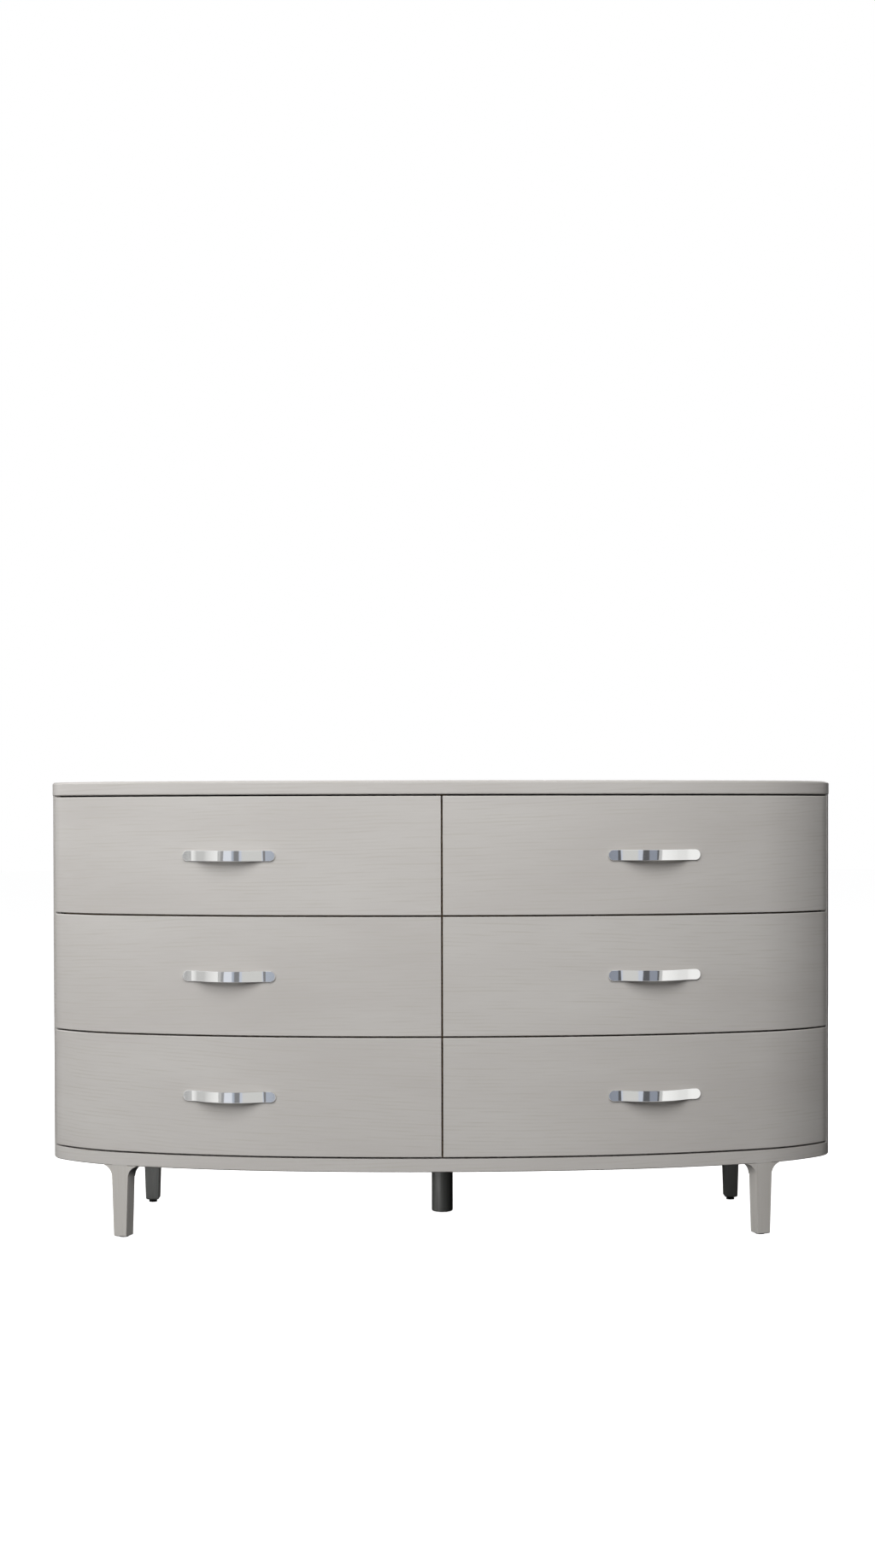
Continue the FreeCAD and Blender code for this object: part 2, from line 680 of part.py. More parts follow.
def drawer_nodes():
    nodes = {}
    for row, level in enumerate(ROWS):
        right = {
            "front": [drawer_front(row)],
            "box": drawer_box(row),
            "bottom": [drawer_bottom(row)],
            "pull": [pull(row)],
            "drawer_runners": runner_pair("drawer", row),
            "middle_runners": runner_pair("middle", row),
        }
        for piece, solids in right.items():
            nodes[f"{level}_right_{piece}"] = solids
            nodes[f"{level}_left_{piece}"] = [mirrored(solid) for solid in solids]
    return nodes


def main():
    os.makedirs("parts", exist_ok=True)
    for name, solids in {**case_nodes(), **drawer_nodes()}.items():
        shape = solids[0] if len(solids) == 1 else Part.makeCompound(solids)
        shape.exportStep(f"parts/{name}.step")
        volume = sum(solid.Volume for solid in shape.Solids) / 1000
        print(f"{name}: {len(shape.Solids)} solids, {volume:.1f} cm3, valid {shape.isValid()}")


main()
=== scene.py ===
# %% [markdown]
# A bow front chest of drawers, dressed for its portrait.
# The solids come from the CAD model as a fixed frame: every board, leg, runner and pull is already
# in its place, in metres, with the floor at z = 0 and the bowed front facing -Y.
# Blender's part is the eye's part: soft arrises, lacquer over veneer, polished metal, small screws
# and the light of a plain studio.

import math

import bmesh
import bpy
from mathutils import Matrix, Vector
from mathutils.bvhtree import BVHTree


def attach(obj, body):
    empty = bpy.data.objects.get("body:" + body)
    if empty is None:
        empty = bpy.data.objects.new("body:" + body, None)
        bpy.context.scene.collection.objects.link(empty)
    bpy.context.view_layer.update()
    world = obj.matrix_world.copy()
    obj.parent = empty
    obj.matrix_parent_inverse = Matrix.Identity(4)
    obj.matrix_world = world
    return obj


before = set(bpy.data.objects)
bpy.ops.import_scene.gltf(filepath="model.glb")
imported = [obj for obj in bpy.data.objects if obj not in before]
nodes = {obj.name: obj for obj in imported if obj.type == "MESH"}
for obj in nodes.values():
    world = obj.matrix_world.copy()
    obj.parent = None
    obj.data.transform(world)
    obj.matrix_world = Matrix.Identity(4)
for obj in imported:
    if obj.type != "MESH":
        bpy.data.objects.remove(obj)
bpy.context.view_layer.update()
MM = 0.001

# %% [markdown]
# The camera comes first, because everything else is judged through it.
# A portrait picture keeps upright lines upright when the camera stands level and far back, so this
# one is over four metres away at about the height of the top, and looks down by under one degree.
# It could be aimed with a constraint, but a matrix built from the three directions right, up and
# forward says exactly what the lens sees. The two shifts slide the picture on the sensor, as a view
# camera's rising front does.

# %% Camera
CAMERA_PLACE = Vector((-0.0068, -4.3016, 0.8014))
CAMERA_YAW = math.radians(-0.702)
CAMERA_PITCH = math.radians(0.798)
CAMERA_ROLL = math.radians(0.120)
CAMERA_LENS_MM = 49.892
CAMERA_SHIFT = (-0.0174, 0.0402)

level_right = Vector((math.cos(CAMERA_YAW), math.sin(CAMERA_YAW), 0))
level_ahead = Vector((-math.sin(CAMERA_YAW), math.cos(CAMERA_YAW), 0))
ahead = level_ahead * math.cos(CAMERA_PITCH) - Vector((0, 0, 1)) * math.sin(CAMERA_PITCH)
above = level_ahead * math.sin(CAMERA_PITCH) + Vector((0, 0, 1)) * math.cos(CAMERA_PITCH)
right = level_right * math.cos(CAMERA_ROLL) - above * math.sin(CAMERA_ROLL)
above = level_right * math.sin(CAMERA_ROLL) + above * math.cos(CAMERA_ROLL)

camera = bpy.data.objects.new("camera", bpy.data.cameras.new("camera"))
turn = Matrix((right, above, -ahead)).transposed().to_4x4()
camera.matrix_world = Matrix.Translation(CAMERA_PLACE) @ turn
camera.data.lens = CAMERA_LENS_MM
camera.data.shift_x, camera.data.shift_y = CAMERA_SHIFT
bpy.context.scene.collection.objects.link(camera)
bpy.context.scene.camera = camera
print("camera at", tuple(CAMERA_PLACE), "looking", tuple(round(v, 3) for v in ahead))

# %% [markdown]
# Four helpers serve every finish. Colours are written as sRGB hex, the way they are read off a
# colour card, and shaders want linear light, so one function converts them. The next adds a node,
# sets its options and sockets, and links what comes in, so that a material reads as a list of steps.
# The last two start an empty material and give a finished one to CAD nodes.

# %% Helpers for materials


def linear(hex_colour):
    """An sRGB hex colour as linear red, green, blue and alpha."""
    parts = [int(hex_colour[i:i + 2], 16) / 255 for i in (1, 3, 5)]
    return [c / 12.92 if c <= 0.04045 else ((c + 0.055) / 1.055) ** 2.4 for c in parts] + [1.0]


def add(tree, kind, options=None, **inputs):
    """A new node of a tree. Sockets take a value, or another node's output socket."""
    node = tree.nodes.new(kind)
    for name, value in (options or {}).items():
        setattr(node, name, value)
    for name, value in inputs.items():
        socket = node.inputs[int(name[1:]) if name[1:].isdigit() else name.replace("_", " ")]
        if isinstance(value, bpy.types.NodeSocket):
            tree.links.new(value, socket)
        else:
            socket.default_value = value
    return node


def new_material(name):
    """An empty node material, its tree and its output node."""
    material = bpy.data.materials.new(name)
    material.use_nodes = True
    material.node_tree.nodes.clear()
    return material, material.node_tree, add(material.node_tree, "ShaderNodeOutputMaterial")


def paint(material, *names):
    """Gives CAD nodes one material."""
    for name in names:
        nodes[name].data.materials.clear()
        nodes[name].data.materials.append(material)


print("greige as linear light:", [round(v, 3) for v in linear("#BBB7B1")])

# %% [markdown]
# Floor and backdrop. The studio is white all round, so the floor runs out into the backdrop with no
# line between them. The floor glows a little, which keeps the far part as pale as the part under the
# lamps and leaves only a soft shadow round the feet. It throws no light back up at the chest, because
# the front is darker towards the floor.

# %% Floor and backdrop
scene = bpy.context.scene
scene.view_settings.view_transform = "Standard"
FLOOR_HALF, FLOOR_GLOW, FLOOR_MOTTLES = 30.0, 0.97, 6.0
DOME_RADIUS, DOME_SIDES, DOME_RINGS = 29.0, 48, 24
CAMERA_ONLY = ("visible_diffuse", "visible_glossy", "visible_transmission", "visible_shadow")
MIRROR_ONLY = ("visible_camera", "visible_diffuse", "visible_transmission", "visible_shadow")


def staged(name, points, faces, material, hidden_from):
    """A surface of the studio that isn't part of the chest."""
    mesh = bpy.data.meshes.new(name)
    mesh.from_pydata(points, [], faces)
    mesh.materials.append(material)
    surface = bpy.data.objects.new(name, mesh)
    scene.collection.objects.link(surface)
    for ray in hidden_from:
        setattr(surface, ray, False)
    return surface


def glowing(name, hex_colour, strength):
    """A surface that shines evenly."""
    material, tree, out = new_material(name)
    glow = add(tree, "ShaderNodeEmission", Color=linear(hex_colour), Strength=strength)
    tree.links.new(glow.outputs["Emission"], out.inputs["Surface"])
    return material


sweep, tree, out = new_material("white_painted_floor")
mottle = add(tree, "ShaderNodeTexNoise", Scale=FLOOR_MOTTLES, Detail=3.0)
shade = add(tree, "ShaderNodeValToRGB", Fac=mottle.outputs["Fac"])
shade.color_ramp.elements[0].color = linear("#F2F2F1")
shade.color_ramp.elements[1].color = linear("#F6F6F5")
matt = add(tree, "ShaderNodeBsdfPrincipled", Base_Color=shade.outputs["Color"], Roughness=0.9,
           Emission_Color=linear("#FFFFFF"), Emission_Strength=FLOOR_GLOW)
tree.links.new(matt.outputs["BSDF"], out.inputs["Surface"])
corners = [(x * FLOOR_HALF, y * FLOOR_HALF, 0) for x, y in ((-1, -1), (1, -1), (1, 1), (-1, 1))]
staged("studio_floor", corners, [(0, 1, 2, 3)], sweep, ("visible_diffuse", "visible_glossy"))

ball = bmesh.new()
bmesh.ops.create_uvsphere(ball, u_segments=DOME_SIDES, v_segments=DOME_RINGS, radius=DOME_RADIUS)
dome_points = [tuple(vertex.co) for vertex in ball.verts]
dome_faces = [[vertex.index for vertex in face.verts] for face in ball.faces]
ball.free()
staged("white_backdrop", dome_points, dome_faces, glowing("white_backdrop", "#FFFFFF", 1.0), CAMERA_ONLY)
print("floor", 2 * FLOOR_HALF, "m wide, backdrop", 2 * DOME_RADIUS, "m across")

# %% [markdown]
# Light. A large soft box hangs high in front, so the upper drawers are a little lighter than the lower
# ones and each pull has a soft shadow under it. Two more on the left, one in front and one a little
# behind, wrap round that end. Nothing answers on the right, where the bow falls into shade. The air
# itself is nearly dark, so that the gaps between the drawers are dark. Two low strips under the case
# stand for the light that a floor throws up at the dark legs, and reach nothing else. A small box does the
# same for the inner face of the right front leg. A last box behind the chest is for a walk round it: it
# lights the back and the right end and leaves the fronts alone.

# %% Soft boxes
AIM = Vector((0, -0.2, 0.5))
AIR_COLOUR, AIR_GLOW = "#D5DAE2", 0.03


def soft_box(name, place, size, watts, aim=AIM):
    """A rectangular light that faces the chest."""
    light = bpy.data.lights.new(name, "AREA")
    light.shape = "RECTANGLE"
    light.size, light.size_y = size
    light.energy = watts
    box = bpy.data.objects.new(name, light)
    box.location = place
    box.visible_camera = False
    box.rotation_euler = (aim - Vector(place)).to_track_quat("-Z", "Y").to_euler()
    scene.collection.objects.link(box)
    return box


def light_only(lamps, name, *pieces, leave_out=False):
    """Lets lamps reach only the pieces, or everything but the pieces."""
    reached = bpy.data.collections.new(name)
    for piece in pieces:
        reached.objects.link(nodes[piece])
    for entry in reached.collection_objects:
        entry.light_linking.link_state = "EXCLUDE" if leave_out else "INCLUDE"
    for lamp in lamps:
        lamp.light_linking.receiver_collection = reached


LEVELS, SIDES = ("lower", "middle", "upper"), ("left", "right")
drawers = [f"{level}_{side}" for level in LEVELS for side in SIDES]
pulls = [f"{d}_pull" for d in drawers]
fronts = [f"{d}_front" for d in drawers]
main = [soft_box("high_front_box", (0, -3.4, 3.2), (4.0, 3.6), 211),
        soft_box("left_front_box", (-3.2, -3.4, 1.7), (3.0, 2.8), 73),
        soft_box("left_end_box", (-3.6, 0.6, 2.2), (2.4, 2.4), 82)]
light_only(main, "all_but_polished_metal", *pulls, leave_out=True)
strips = [soft_box("left_floor_strip", (-0.40, -0.05, 0.03), (0.7, 0.04), 0.46, Vector((-0.40, 1.0, 0.12))),
          soft_box("right_floor_strip", (0.55, -0.05, 0.03), (0.2, 0.04), 0.07, Vector((0.60, 1.0, 0.12)))]
light_only(strips, "dark_legs", "rear_left_leg", "rear_right_leg", "centre_leg")
inner = soft_box("inner_leg_box", (0.22, -0.24, 0.10), (0.2, 0.15), 0.42, Vector((0.62, -0.15, 0.07)))
light_only([inner], "right_front_leg", "front_right_leg")
behind = soft_box("behind_box", (1.8, 4.0, 2.2), (3.0, 2.4), 110)
light_only([behind], "all_but_fronts_and_metal", *pulls, *fronts, leave_out=True)
scene.world = bpy.data.worlds.new("studio_air")
scene.world.use_nodes = True
air = scene.world.node_tree.nodes["Background"].inputs
air["Color"].default_value = linear(AIR_COLOUR)
air["Strength"].default_value = AIR_GLOW

# %% [markdown]
# The pulls are mirrors, so what they show is the studio in front of them. A pale card stands in the
# middle, dark and blue-grey ones either side of it, and white ones at the flanks, a little greyer on the
# left. All are cut from one small set of papers, and the flanks and the card that the left tabs show fade
# from one tone to another. Each card meets only mirror rays, and only the pulls: it draws bands on the
# polished metal and adds no light to the boards. A card's entry gives its paper and how far along the row
# it ends.

# %% Cards for the polished metal
CARD_Y, CARD_LOW, CARD_HIGH = -0.66, -0.1, 1.1
TENT_RADIUS, TENT_SIDES, TENT_HEIGHTS = 9.0, 48, (-4.0, 7.0)
SHEET_PLAN = ((-3, 0.3), (3, 0.3), (3, -3), (-3, -3))
SHEETS = (("overhead_card", CARD_HIGH, 1.3), ("underfoot_card", CARD_LOW, 0.9))  # name, height and glow
PAPERS = {"haze": "#ECF0F8", "pale": "#DDDDDA", "sky": "#D2D8E4", "silver": "#CECECD", "mist": "#B8BFCB",
          "steel": "#979DA9", "grey": "#A6A6A7", "lead": "#8A8B8D", "coal": "#636467"}
DUSK_FADE, DUSK_RUN = ("#DCDCDA", "#6E6F72"), (0.793, 0.814)
CARDS = {
    "left": (("pale", 0.330), ("sky", 0.373), ("lead", 0.463), ("mist", 0.502), ("haze", 0.664),
             ("grey", 0.735), ("silver", DUSK_RUN[0]), ("dusk", DUSK_RUN[1])),
    "right": (("pale", 0.272), ("sky", 0.352), ("coal", 0.463), ("steel", 0.606), ("coal", 0.648),
              ("silver", 0.722)),
}
FLANK_END = (3.0, -0.1)
FLANK_FADES = {"left": ("#FAFAF8", "#CCCCCA"), "right": ("#FFFFFD", "#EEEEEC")}
FLANK_FADE_RUN, FLANK_GLOW = 0.7, 1.08
cards = []


def card(name, start, end, material):
    """An upright card between two places on the plan."""
    points = [(*start, CARD_LOW), (*end, CARD_LOW), (*end, CARD_HIGH), (*start, CARD_HIGH)]
    cards.append(staged(name, points, [(0, 1, 2, 3)], material, MIRROR_ONLY))


def fading(name, hex_colours, start, end, strength):
    """A card's finish that goes from one colour to another between two places on the X axis."""
    first, last = [linear(hex_colour) for hex_colour in hex_colours]
    material, tree, out = new_material(name)
    spot = add(tree, "ShaderNodeSeparateXYZ", Vector=add(tree, "ShaderNodeTexCoord").outputs["Object"])
    fade = add(tree, "ShaderNodeMapRange", Value=spot.outputs["X"], From_Min=start, From_Max=end)
    tint = add(tree, "ShaderNodeMix", {"data_type": "RGBA"}, _0=fade.outputs[0], _6=first, _7=last)
    glow = add(tree, "ShaderNodeEmission", Color=tint.outputs[2], Strength=strength)
    tree.links.new(glow.outputs["Emission"], out.inputs["Surface"])
    return material


paper = {name: glowing(f"{name}_card", hex_colour, 1.0) for name, hex_colour in PAPERS.items()}
paper["dusk"] = fading("dusk_card", DUSK_FADE, -DUSK_RUN[0], -DUSK_RUN[1], 1.0)
for side, sign in (("left", -1), ("right", 1)):
    near = 0.0
    for number, (name, far) in enumerate(CARDS[side]):
        card(f"{side}_card_{number}_{name}", (sign * near, CARD_Y), (sign * far, CARD_Y), paper[name])
        near = far
    fade_end = sign * (near + FLANK_FADE_RUN)
    finish = fading(f"flank_card_{side}", FLANK_FADES[side], sign * near, fade_end, FLANK_GLOW)
    card(f"flank_card_{side}", (sign * near, CARD_Y), (sign * FLANK_END[0], FLANK_END[1]), finish)
turns = [2 * math.pi * i / TENT_SIDES for i in range(TENT_SIDES)]
tent_points = [(TENT_RADIUS * math.cos(a), TENT_RADIUS * math.sin(a), z) for z in TENT_HEIGHTS for a in turns]
steps = [(i, (i + 1) % TENT_SIDES) for i in range(TENT_SIDES)]
tent_faces = [(i, j, TENT_SIDES + j, TENT_SIDES + i) for i, j in steps]
tent_grey = glowing("grey_tent", "#A4A8AE", 1.0)
cards.append(staged("grey_tent", tent_points, tent_faces, tent_grey, MIRROR_ONLY))
for name, z, glow in SHEETS:
    sheet = [(x, y, z) for x, y in SHEET_PLAN]
    cards.append(staged(name, sheet, [(0, 1, 2, 3)], glowing(name, "#FFFFFF", glow), MIRROR_ONLY))
light_only(cards, "polished_metal", *pulls)
print("cards that only the pulls can see:", len(cards))

# %% [markdown]
# The finish of the case is a close-grained veneer, stained grey-beige and lacquered to a satin
# sheen. The eye gets three things from it: faint darker lines of growth some seven millimetres apart,
# which lean and wander a little and break off; fine pores along them; and a slow drift of tone over a
# hand's width. An image could carry that, but waves and noise stretched along the grain need no
# picture and are never the same on two boards: each board moves and tilts the pattern by its own
# random amount.

# %% Lacquered veneer
LINE_MM = 7.0
BREAK_MM, BREAK_RUN_MM = 6.0, 90.0
PORE_MM, PORE_RUN_MM = 1.6, 45.0  # real pores are about 0.2 mm wide, drawn coarser so that they show
DRIFT_MM, DRIFT_RUN_MM = 120.0, 500.0
WANDER_MM, WANDER_ACROSS_MM, WANDER_RUN_MM = 10.0, 180.0, 420.0
LEAN = 0.04  # rise of the lines over their length, at most
LINE_FROM, BREAK_SPAN = 0.55, (0.42, 0.66)  # where on wave and noise a line starts and breaks off
PORE_SHARE, GROUND_SPAN = 0.35, (0.45, 0.90)  # how pores and drift mix into the ground colour
PORE_RELIEF, PORE_DEPTH_MM = 0.12, 0.1
SHEEN_SPREAD, LACQUER_IOR, COAT_ROUGHNESS = 0.05, 1.5, 0.3
BOARD_SHIFT = (3.1, 5.7, 9.3)  # metres that the pattern moves from board to board, at most
LYING = 0.9  # a face whose normal rises more than this lies flat


def veneer(name, dark, pale, line, roughness, upright=False, coat=0.0):
    """Veneer or solid wood, its grain level along faces, or upright along legs."""
    material, tree, out = new_material(name)
    place = add(tree, "ShaderNodeTexCoord")
    board = add(tree, "ShaderNodeObjectInfo").outputs["Random"]
    shift = add(tree, "ShaderNodeVectorMath", {"operation": "SCALE"}, _0=BOARD_SHIFT, Scale=board)
    moved = add(tree, "ShaderNodeVectorMath", {"operation": "ADD"},
                _0=place.outputs["Object"], _1=shift.outputs[0])
    axes = add(tree, "ShaderNodeSeparateXYZ", Vector=moved.outputs[0]).outputs
    along, through, across = axes["X"], axes["Y"], axes["Z"]
    if upright:
        along, across = across, along
    else:
        normal = add(tree, "ShaderNodeNewGeometry").outputs["Normal"]
        facing = add(tree, "ShaderNodeSeparateXYZ", Vector=normal)
        tilt = add(tree, "ShaderNodeMath", {"operation": "ABSOLUTE"}, _0=facing.outputs["Z"])
        flat = add(tree, "ShaderNodeMath", {"operation": "GREATER_THAN"}, _0=tilt.outputs[0], _1=LYING)
        across = add(tree, "ShaderNodeMix", Factor=flat.outputs[0], A=axes["Z"], B=axes["Y"]).outputs[0]
        through = add(tree, "ShaderNodeMix", Factor=flat.outputs[0], A=axes["Y"], B=axes["Z"]).outputs[0]

    def noise(vector, across_mm, run_mm, detail):
        """Noise whose marks are across_mm wide and run_mm long."""
        through_mm = across_mm if upright else run_mm
        scale = [1 / (size * MM) for size in (run_mm, through_mm, across_mm)]
        lengths = add(tree, "ShaderNodeVectorMath", {"operation": "MULTIPLY"}, _0=vector, _1=scale)
        cloud = add(tree, "ShaderNodeTexNoise", Vector=lengths.outputs[0], Scale=1.0, Detail=detail)
        return cloud.outputs["Fac"]

    straight = add(tree, "ShaderNodeCombineXYZ", X=along, Y=through, Z=across).outputs[0]
    lean = add(tree, "ShaderNodeMath", {"operation": "MULTIPLY_ADD"}, _0=board, _1=2 * LEAN, _2=-LEAN)
    leaning = add(tree, "ShaderNodeMath", {"operation": "MULTIPLY_ADD"},
                  _0=along, _1=lean.outputs[0], _2=across)
    wander = noise(straight, WANDER_ACROSS_MM, WANDER_RUN_MM, 3.0)
    ring = add(tree, "ShaderNodeMath", {"operation": "MULTIPLY_ADD"},
               _0=wander, _1=2 * WANDER_MM * MM, _2=leaning.outputs[0])
    grain = add(tree, "ShaderNodeCombineXYZ", X=along, Y=through, Z=ring.outputs[0]).outputs[0]
    wave = add(tree, "ShaderNodeTexWave", {"bands_direction": "Z"},
               Vector=grain, Scale=math.pi / (10 * LINE_MM * MM))
    thin = add(tree, "ShaderNodeMapRange", {"interpolation_type": "SMOOTHSTEP"},
               Value=wave.outputs["Fac"], From_Min=LINE_FROM)
    breaks = add(tree, "ShaderNodeMapRange", Value=noise(grain, BREAK_MM, BREAK_RUN_MM, 2.0),
                 From_Min=BREAK_SPAN[0], From_Max=BREAK_SPAN[1])
    mark = add(tree, "ShaderNodeMath", {"operation": "MULTIPLY"}, _0=thin.outputs[0], _1=breaks.outputs[0])
    pores = noise(grain, PORE_MM, PORE_RUN_MM, 2.0)
    drift = noise(grain, DRIFT_MM, DRIFT_RUN_MM, 3.0)
    tone = add(tree, "ShaderNodeMath", {"operation": "MULTIPLY_ADD"}, _0=pores, _1=PORE_SHARE, _2=drift)
    ground = add(tree, "ShaderNodeValToRGB", Fac=tone.outputs[0])
    for stop, place_on_ramp, colour in zip(ground.color_ramp.elements, GROUND_SPAN, (dark, pale)):
        stop.position, stop.color = place_on_ramp, linear(colour)
    lined = add(tree, "ShaderNodeMix", {"data_type": "RGBA"},
                _0=mark.outputs[0], _6=ground.outputs["Color"], _7=linear(line))
    sheen = add(tree, "ShaderNodeMapRange", Value=pores,
                To_Min=roughness - SHEEN_SPREAD, To_Max=roughness + SHEEN_SPREAD)
    relief = add(tree, "ShaderNodeBump", Strength=PORE_RELIEF, Distance=PORE_DEPTH_MM * MM, Height=pores)
    shader = add(tree, "ShaderNodeBsdfPrincipled", Base_Color=lined.outputs[2], Roughness=sheen.outputs[0],
                 Normal=relief.outputs["Normal"], IOR=LACQUER_IOR,
                 Coat_Weight=coat, Coat_Roughness=COAT_ROUGHNESS)
    tree.links.new(shader.outputs["BSDF"], out.inputs["Surface"])
    return material


case_veneer = veneer("greige_lacquered_sycamore_veneer", "#B6B2AE", "#BEBBB7", "#B4B0AA", 0.44, coat=0.12)
leg_wood = veneer("greige_lacquered_beech", "#B6B2AD", "#BBB8B3", "#B5B1AB", 0.44, upright=True, coat=0.12)
paint(case_veneer, "top_panel", "base_panel", "left_side_panel", "right_side_panel", *fronts)
paint(leg_wood, "front_left_leg", "front_right_leg")
print("lacquered boards:", 4 + len(drawers), "and two legs")

# %% [markdown]
# The woods that don't face the room are plainer. The rear and centre legs are charcoal lacquer, set darker
# still as painted shade, so that they sink into the shade under the case. Birch with a clear coat gives the
# drawers a warm, pale inside, and the sanded plywood of bottoms and back is a little duller. The rails and
# the partition are softwood, its brown darkened as painted shade that keeps the gaps dark and warm.

# %% Other woods
# The legs' charcoal is partly their lacquer and partly painted shade for the dark under the case.
charcoal_and_shade = veneer("charcoal_beech_and_painted_shade", "#60615E", "#6A6B68", "#5A5A57", 0.42, upright=True)
birch = veneer("clear_lacquered_birch", "#CBA97C", "#D9BC92", "#B48C5C", 0.45)
plywood = veneer("sanded_birch_plywood", "#C2A378", "#CFB48A", "#A98558", 0.6)
# The softwood's brown is darkened as painted shade, so that the gaps between the drawers read dark.
softwood_and_gap_shade = veneer("softwood_with_painted_gap_shade", "#8A6F52", "#9C8062", "#6E573F", 0.6)
paint(charcoal_and_shade, "rear_left_leg", "rear_right_leg", "centre_leg")
paint(birch, *[f"{d}_box" for d in drawers])
paint(plywood, "back_panel", *[f"{d}_bottom" for d in drawers])
paint(softwood_and_gap_shade, "drawer_rails", "centre_partition")
print("other woods:", [wood.name for wood in (charcoal_and_shade, birch, plywood, softwood_and_gap_shade)])

# %% [markdown]
# Metals and plastic. The pulls are steel straps, polished and then chromed, so they show a mirror
# with the faintest polishing lines. The runners are rolled from zinc-plated sheet, duller and a
# little blue. The feet are moulded nylon with a fine matt texture.

# %% Metals and plastic
POLISH_RELIEF, POLISH_DEPTH_MM = 0.05, 0.02
GRIT_MM, GRIT_RELIEF, GRIT_DEPTH_MM, NYLON_ROUGHNESS = 0.8, 0.3, 0.1, 0.55


def metal(name, hex_colour, roughness, line_mm, run_mm, spread):
    """A metal with fine lines along its length."""
    material, tree, out = new_material(name)
    place = add(tree, "ShaderNodeTexCoord")
    scale = (1 / (run_mm * MM), 1 / (run_mm * MM), 1 / (line_mm * MM))
    lengths = add(tree, "ShaderNodeVectorMath", {"operation": "MULTIPLY"},
                  _0=place.outputs["Object"], _1=scale)
    lines = add(tree, "ShaderNodeTexNoise", Vector=lengths.outputs[0], Scale=1.0, Detail=2.0)
    sheen = add(tree, "ShaderNodeMapRange", Value=lines.outputs["Fac"],
                To_Min=roughness - spread, To_Max=roughness + spread)
    relief = add(tree, "ShaderNodeBump", Strength=POLISH_RELIEF, Distance=POLISH_DEPTH_MM * MM,
                 Height=lines.outputs["Fac"])
    shader = add(tree, "ShaderNodeBsdfPrincipled", Base_Color=linear(hex_colour), Metallic=1.0,
                 Roughness=sheen.outputs[0], Normal=relief.outputs["Normal"])
    tree.links.new(shader.outputs["BSDF"], out.inputs["Surface"])
    return material


chrome = metal("polished_chromed_steel", "#E6E6E6", 0.08, 0.8, 60.0, 0.02)
zinc = metal("rolled_zinc_plated_steel", "#B9BDC2", 0.36, 1.2, 80.0, 0.08)
paint(chrome, *pulls)
paint(zinc, "case_runners", *[f"{d}_{m}_runners" for d in drawers for m in ("drawer", "middle")])

nylon, tree, out = new_material("moulded_black_nylon")
place = add(tree, "ShaderNodeTexCoord")
grit = add(tree, "ShaderNodeTexNoise", Vector=place.outputs["Object"], Scale=1 / (GRIT_MM * MM), Detail=2.0)
shade = add(tree, "ShaderNodeValToRGB", Fac=grit.outputs["Fac"])
shade.color_ramp.elements[0].color = linear("#141414")
shade.color_ramp.elements[1].color = linear("#202020")
relief = add(tree, "ShaderNodeBump", Strength=GRIT_RELIEF, Distance=GRIT_DEPTH_MM * MM,
             Height=grit.outputs["Fac"])
shader = add(tree, "ShaderNodeBsdfPrincipled", Base_Color=shade.outputs["Color"],
             Roughness=NYLON_ROUGHNESS, Normal=relief.outputs["Normal"])
tree.links.new(shader.outputs["BSDF"], out.inputs["Surface"])
paint(nylon, "foot_pads", "rear_levelers")
print("metals and plastic:", [stuff.name for stuff in (chrome, zinc, nylon)])

# %% [markdown]
# Screws. Two pan-head screws hold each pull from inside its drawer, and two more on each side hold the
# drawer's runner to the box, where they show once the drawer is out. A head is turned, then struck with
# a cross, so it is built as rings of points: round ones up the dome, then the cross at the top and again
# at its floor. Every ring has a point at each corner of the cross, so the rings join with plain quads.

# %% Screw heads
PULL_SCREW_MM, RUNNER_SCREW_MM = (4.0, 2.6), (3.5, 2.2)  # radius and height of a head
PULL_SCREW_INSET_MM = 10.0
FRONT_THICKNESS_MM, RUNNER_SHEET_MM = 20.0, 1.2
RUNNER_SCREW_AT_MM = (35.0, 67.0)
DOME = ((1.0, 0.0), (1.0, 0.35), (0.86, 0.80), (0.62, 1.0))  # shares of radius and height
ARM, SLOT, RECESS_FLOOR = 0.52, 0.16, 0.4


def screw_heads(name, places, size_mm, body):
    """Cross-recessed heads at places, each a point on the surface and the way out of it."""
    radius, height = [size * MM for size in size_mm]
    corner = [(ARM, -SLOT), (ARM, SLOT), (SLOT, SLOT)]
    cross = list(corner)
    for _ in range(3):
        corner = [(-y, x) for x, y in corner]
        cross += corner
    angles = [math.atan2(y, x) for x, y in cross]
    rings = [[(share * math.cos(a), share * math.sin(a), rise) for a in angles] for share, rise in DOME]
    rings += [[(x, y, rise) for x, y in cross] for rise in (1.0, RECESS_FLOOR)]
    count, points, faces = len(cross), [], []
    for foot, out in places:
        side = out.orthogonal().normalized()
        over = out.cross(side)
        start = len(points)
        points += [foot + (side * x + over * y) * radius + out * (z * height)
                   for ring in rings for x, y, z in ring]
        for low in range(start, start + (len(rings) - 1) * count, count):
            steps = [(low + i, low + (i + 1) % count) for i in range(count)]
            faces += [(i, j, count + j, count + i) for i, j in steps]
        faces += [[start + i for i in reversed(range(count))], [low + count + i for i in range(count)]]
    mesh = bpy.data.meshes.new(name)
    mesh.from_pydata(points, [], faces)
    mesh.materials.append(zinc)
    piece = bpy.data.objects.new(name, mesh)
    scene.collection.objects.link(piece)
    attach(piece, body)


def box_of(name):
    """The lower and the upper corner of a CAD node."""
    spots = [nodes[name].matrix_world @ Vector(spot) for spot in nodes[name].bound_box]
    return [Vector([pick(spot[axis] for spot in spots) for axis in range(3)]) for pick in (min, max)]


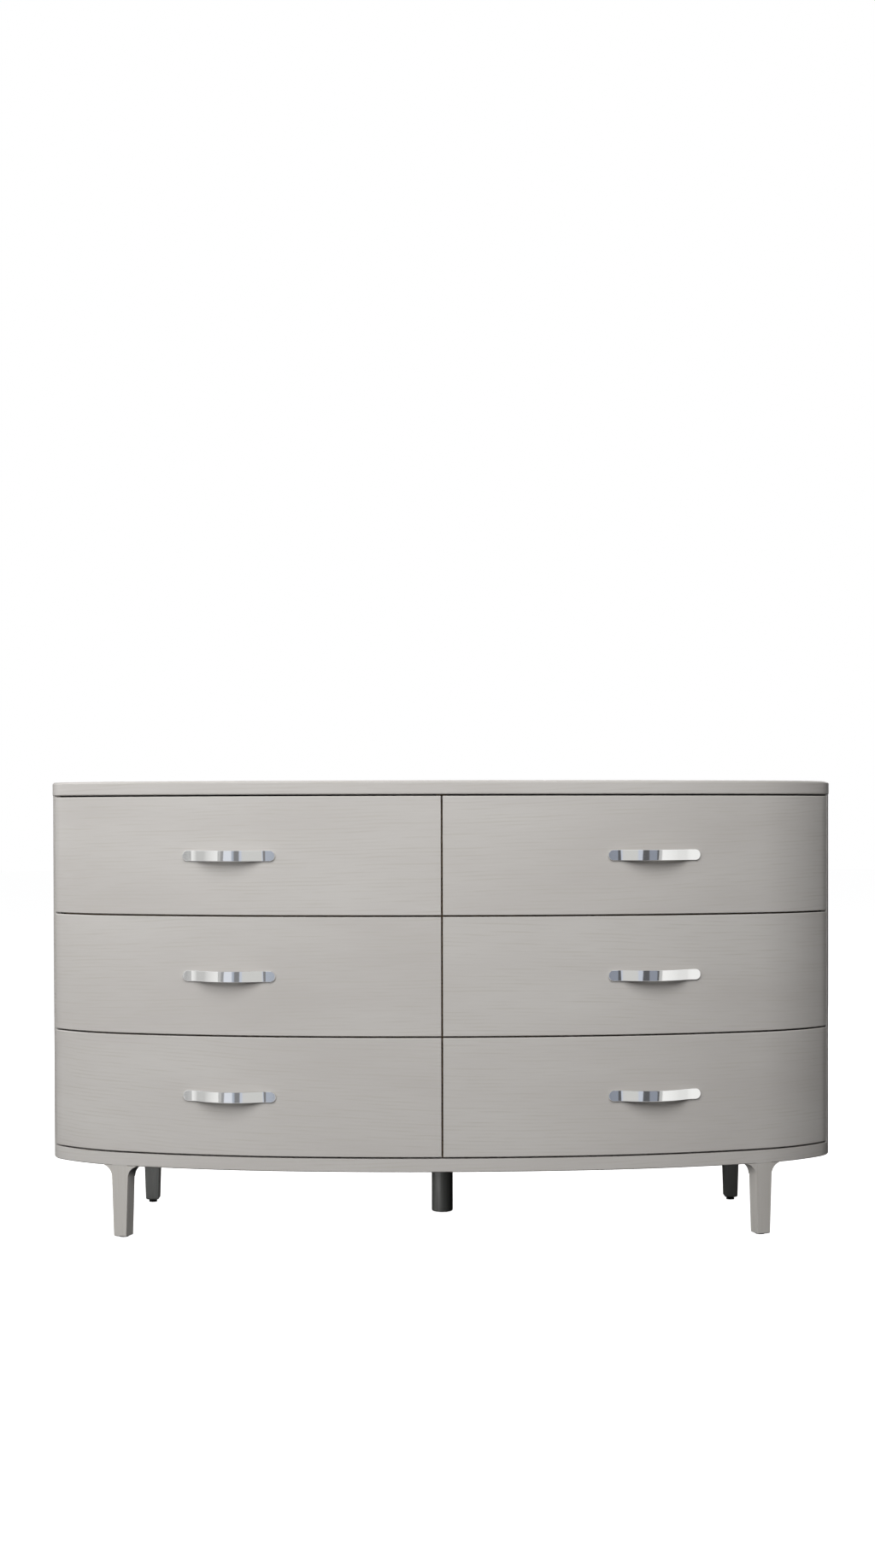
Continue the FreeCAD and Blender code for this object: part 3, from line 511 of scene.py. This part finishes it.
for drawer in drawers:
    front = nodes[f"{drawer}_front"].data
    skin = BVHTree.FromPolygons([v.co for v in front.vertices], [p.vertices for p in front.polygons])
    low, high = box_of(f"{drawer}_pull")
    behind_tabs = []
    for x in (low.x + PULL_SCREW_INSET_MM * MM, high.x - PULL_SCREW_INSET_MM * MM):
        face, out, _, _ = skin.ray_cast(Vector((x, -1, (low.z + high.z) / 2)), Vector((0, 1, 0)))
        behind_tabs.append((face - out * (FRONT_THICKNESS_MM * MM), -out))
    screw_heads(f"{drawer}_pull_screws", behind_tabs, PULL_SCREW_MM, f"{drawer}_drawer")
    left, right_side = [corner.x for corner in box_of(f"{drawer}_box")]
    low, high = box_of(f"{drawer}_drawer_runners")
    webs = ((left - RUNNER_SHEET_MM * MM, -1), (right_side + RUNNER_SHEET_MM * MM, 1))
    on_runners = [(Vector((x, low.y + at * MM, (low.z + high.z) / 2)), Vector((way, 0, 0)))
                  for x, way in webs for at in RUNNER_SCREW_AT_MM]
    screw_heads(f"{drawer}_runner_screws", on_runners, RUNNER_SCREW_MM, f"{drawer}_drawer")
print("screw heads:", len(drawers) * (2 + 2 * len(RUNNER_SCREW_AT_MM)))

# %% [markdown]
# No real edge is a knife edge. The CAD solids have flat chamfers or none, so each shown node is
# welded along its edges and then bevelled by a small modifier, which leaves its own mesh alone.
# A weighted normal keeps the broad faces true and lets only the narrow bevel turn the light.

# %% Soft arrises
JOIN_MM, SHARP_DEGREES = 0.005, 32


def soften(width_mm, *names, segments=2):
    """Rounds the sharp edges of CAD nodes."""
    for name in names:
        piece = nodes[name]
        piece.modifiers.new("join_faces", "WELD").merge_threshold = JOIN_MM * MM
        round_over = piece.modifiers.new("round_over", "BEVEL")
        round_over.width = width_mm * MM
        round_over.segments = segments
        round_over.limit_method = "ANGLE"
        round_over.angle_limit = math.radians(SHARP_DEGREES)
        round_over.use_clamp_overlap = False
        piece.modifiers.new("true_faces", "WEIGHTED_NORMAL").keep_sharp = True


soften(0.35, *fronts)
soften(1.0, "top_panel", segments=3)
soften(0.5, "base_panel")
soften(0.2, "front_left_leg", "front_right_leg")
soften(1.0, "rear_left_leg", "rear_right_leg", segments=3)
soften(3.0, "centre_leg", segments=4)
soften(0.8, *pulls, segments=4)
print("softened nodes:", sum("round_over" in node.modifiers for node in nodes.values()))
